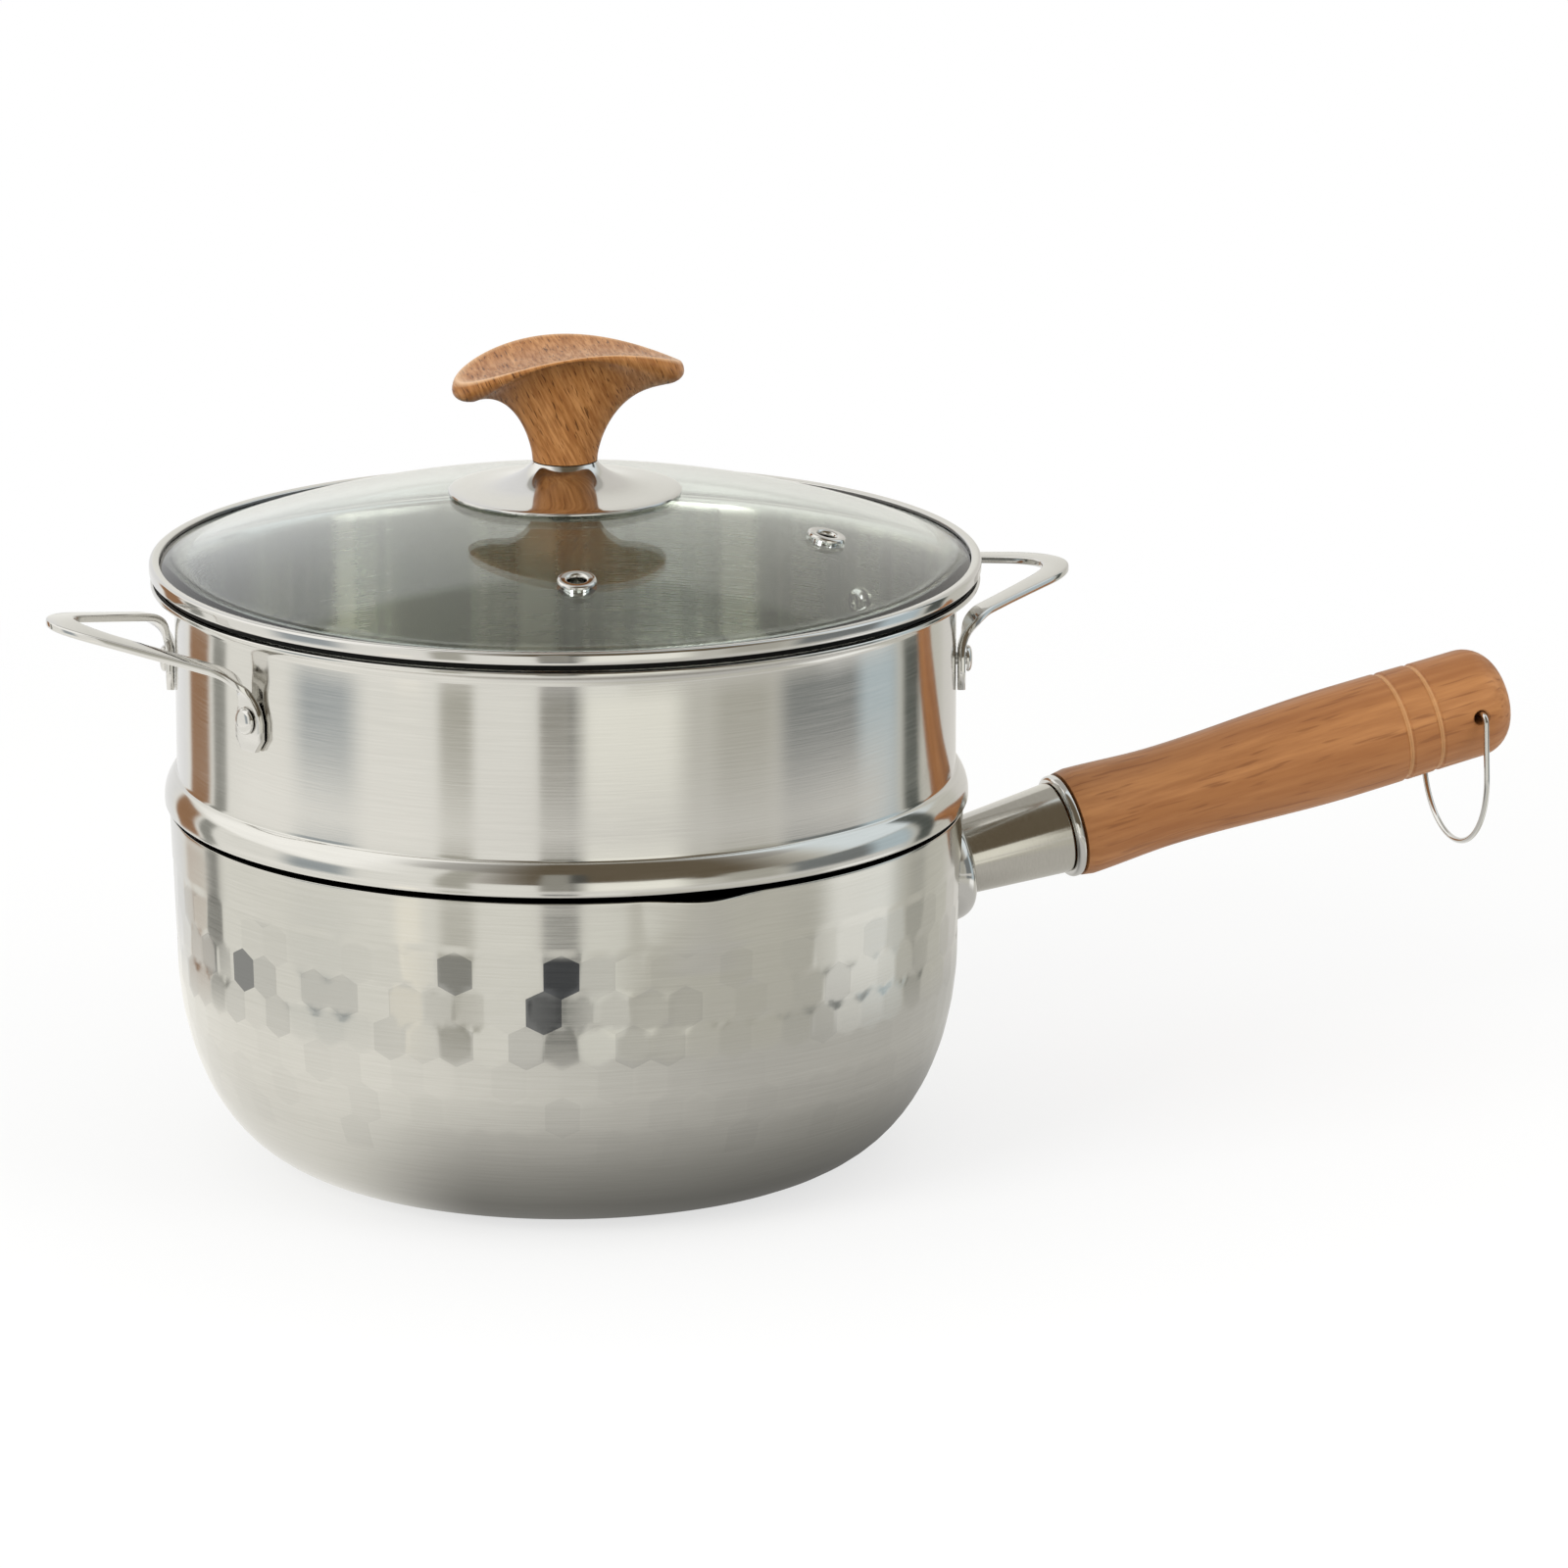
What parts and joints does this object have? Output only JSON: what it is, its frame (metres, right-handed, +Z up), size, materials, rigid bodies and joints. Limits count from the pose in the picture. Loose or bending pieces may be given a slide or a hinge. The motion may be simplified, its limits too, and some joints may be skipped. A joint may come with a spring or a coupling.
{
  "type": "milk pan",
  "caption": "Hammered steel milk pan with pour spouts, a wooden stick handle and hanging ring, a lift-out steamer insert with loop handles and a glass lid with a wooden knob.",
  "frame": {"origin": "centre of the pan's flat base, where it stands on the hob", "axes": "+X along the stick handle, away from the pan; +Z up; the pour spouts lie on +Y and -Y"},
  "size_m": [0.3982, 0.2106, 0.2107],
  "materials": {
    "hammered_steel": "satin brushed stainless steel with a hammered band",
    "polished_steel": "polished stainless steel",
    "satin_steel": "satin stainless steel",
    "beech": "oiled beech with lengthwise grain",
    "knob_wood": "lacquered wood with fine dark grain",
    "lid_glass": "clear tempered glass",
    "silicone": "translucent grey silicone"
  },
  "bodies": {
    "pan": {"pan_body": "hammered_steel", "handle_flange": "polished_steel", "handle_ferrule": "satin_steel", "ferrule_ring": "polished_steel", "handle_grip": "beech", "ferrule_screw": "polished_steel"},
    "hanging_ring": {"hanging_ring": "polished_steel"},
    "steamer": {"steamer_body": "polished_steel", "loop_handle_left": "polished_steel", "loop_handle_right": "polished_steel", "handle_rivet_left_front": "polished_steel", "handle_rivet_left_back": "polished_steel", "handle_rivet_right_front": "polished_steel", "handle_rivet_right_back": "polished_steel"},
    "lid": {"lid_glass": "lid_glass", "lid_rim": "polished_steel", "vent_eyelet_front": "polished_steel", "vent_eyelet_side": "polished_steel", "knob_skirt": "polished_steel", "lid_knob": "knob_wood", "knob_bolt": "polished_steel", "knob_washer": "polished_steel", "knob_gasket": "silicone", "knob_bush": "silicone"}
  },
  "joints": [
    {"name": "ring_swing", "type": "hinge", "parent": "pan", "child": "hanging_ring", "pos_m": [0.24969, 0, 0.09352], "axis": [0, -1, 0], "range_deg": [-50, 250]},
    {"name": "steamer_lift", "type": "slide", "parent": "pan", "child": "steamer", "axis": [0, 0, 1], "range_m": [0, 0.16]},
    {"name": "lid_lift", "type": "slide", "parent": "steamer", "child": "lid", "axis": [0, 0, 1], "range_m": [0, 0.12]}
  ]
}
